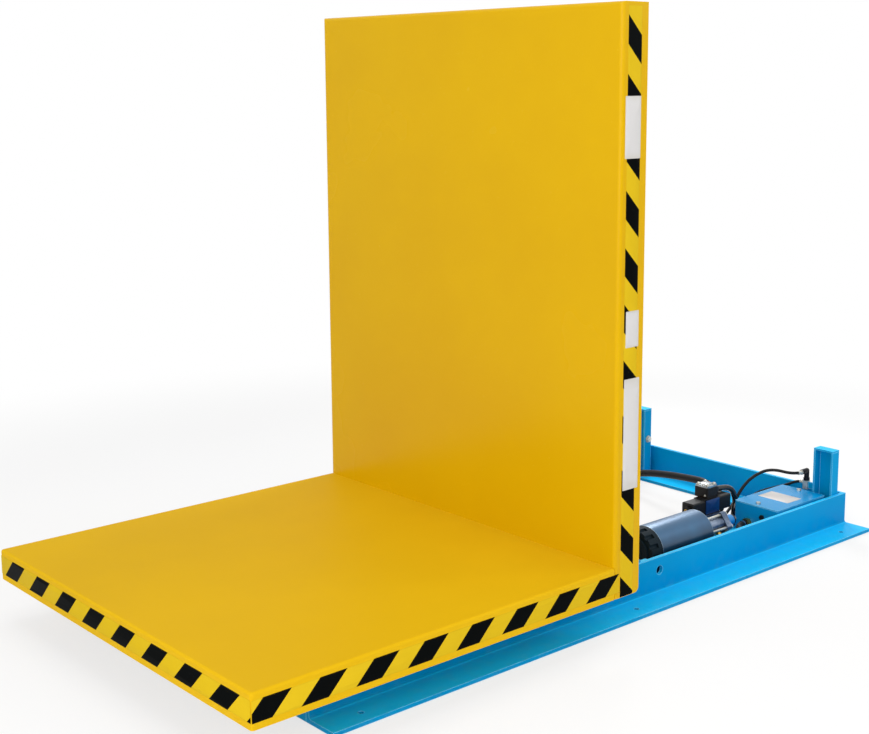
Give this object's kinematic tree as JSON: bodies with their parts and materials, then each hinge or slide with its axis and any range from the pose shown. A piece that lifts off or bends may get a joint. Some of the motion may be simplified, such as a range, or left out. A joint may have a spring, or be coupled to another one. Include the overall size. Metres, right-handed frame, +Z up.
{
  "type": "hydraulic tilt upender",
  "caption": "Floor-standing hydraulic upender: an L-shaped tilting carriage with deck and upright plates on a low angle-iron frame, tipped by cylinders fed from a power unit.",
  "frame": {"origin": "on the floor, below the middle of the whole machine's bounding box", "axes": "+X from the loading deck's front edge to the power unit end, +Y across to the side away from the power unit, +Z up"},
  "size_m": [2.414, 1.219, 1.637],
  "materials": {
    "yellow_paint": "satin safety-yellow enamel",
    "blue_paint": "glossy blue enamel",
    "black_paint": "glossy black enamel",
    "cast_aluminium": "cast and machined",
    "moulded_black": "moulded black",
    "bright_cover": "pressed bright cover",
    "zinc_plate": "zinc plated",
    "black_fitting": "black oxide",
    "brass": "machined brass",
    "bronze": "sintered bronze",
    "hose_rubber": "wrapped black rubber",
    "cable_sheath": "glossy black sheath",
    "ground_steel": "ground steel",
    "hard_chrome": "hard chrome"
  },
  "bodies": {
    "base": {"rail_near": "blue_paint", "rail_far": "blue_paint", "front_cross_member": "blue_paint", "anchor_cross_member": "blue_paint", "rear_cross_member": "blue_paint", "posts": "blue_paint", "post_caps": "blue_paint", "pivot_housings": "blue_paint", "anchor_lugs": "blue_paint", "tank_body": "blue_paint", "tank_lid": "blue_paint", "power_unit_tray": "blue_paint", "motor_cradle": "blue_paint", "motor_shell": "black_paint", "motor_end_bell": "black_paint", "valve_body": "black_paint", "hose_block": "black_paint", "pump_body": "cast_aluminium", "pump_cover": "cast_aluminium", "manifold_block": "cast_aluminium", "solenoids": "moulded_black", "wiring_box": "moulded_black", "tank_plug": "moulded_black", "hose_clips": "moulded_black", "wiring_box_cover": "bright_cover", "pump_bolts": "zinc_plate", "lid_screws": "zinc_plate", "post_bolt": "zinc_plate", "return_fitting": "zinc_plate", "return_elbow": "black_fitting", "suction_fitting": "brass", "pivot_bushes": "bronze", "cylinder_hose": "hose_rubber", "return_hose": "hose_rubber", "drain_hose": "hose_rubber", "suction_hose": "hose_rubber", "jumper_hoses": "hose_rubber", "valve_cable": "cable_sheath", "anchor_pins": "ground_steel"},
    "carriage": {"horizontal_deck": "yellow_paint", "upright_deck": "yellow_paint", "deck_ribs": "yellow_paint", "upright_ribs": "yellow_paint", "pivot_arms": "yellow_paint", "pivot_shaft": "ground_steel", "lever_plates": "yellow_paint"},
    "barrel_near": {"cylinder_barrel_near": "black_paint", "cylinder_gland_near": "ground_steel"},
    "rod_near": {"piston_rod_near": "hard_chrome", "piston_near": "ground_steel", "rod_pin_near": "ground_steel"},
    "barrel_far": {"cylinder_barrel_far": "black_paint", "cylinder_gland_far": "ground_steel"},
    "rod_far": {"piston_rod_far": "hard_chrome", "piston_far": "ground_steel", "rod_pin_far": "ground_steel"},
    "rotor": {"motor_rotor": "ground_steel", "pump_drive_gear": "ground_steel"},
    "idler": {"pump_idler_gear": "ground_steel"},
    "spool": {"valve_spool": "ground_steel"}
  },
  "joints": [
    {"name": "carriage_tilt", "type": "hinge", "parent": "base", "child": "carriage", "pos_m": [0.173, 0, 0.0803], "axis": [0, 1, 0], "range_deg": [0, 90]},
    {"name": "near_barrel_swing", "type": "hinge", "parent": "base", "child": "barrel_near", "pos_m": [-0.409, -0.2, 0.075], "axis": [0, 1, 0], "range_deg": [0, 2.94], "deforming": ["jumper_hoses"]},
    {"name": "near_rod_slide", "type": "slide", "parent": "barrel_near", "child": "rod_near", "axis": [0.9865, 0, 0.1638], "range_m": [0, 0.147]},
    {"name": "far_barrel_swing", "type": "hinge", "parent": "base", "child": "barrel_far", "pos_m": [-0.409, 0.2, 0.075], "axis": [0, 1, 0], "range_deg": [0, 2.94]},
    {"name": "far_rod_slide", "type": "slide", "parent": "barrel_far", "child": "rod_far", "axis": [0.9865, 0, 0.1638], "range_m": [0, 0.147]},
    {"name": "motor_spin", "type": "hinge", "parent": "base", "child": "rotor", "pos_m": [0.4575, -0.335, 0.09], "axis": [1, 0, 0], "continuous": true},
    {"name": "idler_spin", "type": "hinge", "parent": "base", "child": "idler", "pos_m": [0.655, -0.35138, 0.10147], "axis": [1, 0, 0], "continuous": true},
    {"name": "spool_shift", "type": "slide", "parent": "base", "child": "spool", "axis": [1, 0, 0], "range_m": [-0.003, 0.003], "stiffness_N_per_m": 2000}
  ],
  "couplings": [
    {"joint": "near_barrel_swing", "follows": "carriage_tilt", "ratio": 0.032598},
    {"joint": "near_rod_slide", "follows": "carriage_tilt", "m_per_rad": 0.09356},
    {"joint": "far_barrel_swing", "follows": "carriage_tilt", "ratio": 0.032598},
    {"joint": "far_rod_slide", "follows": "carriage_tilt", "m_per_rad": 0.09356},
    {"joint": "idler_spin", "follows": "motor_spin", "ratio": -1}
  ]
}
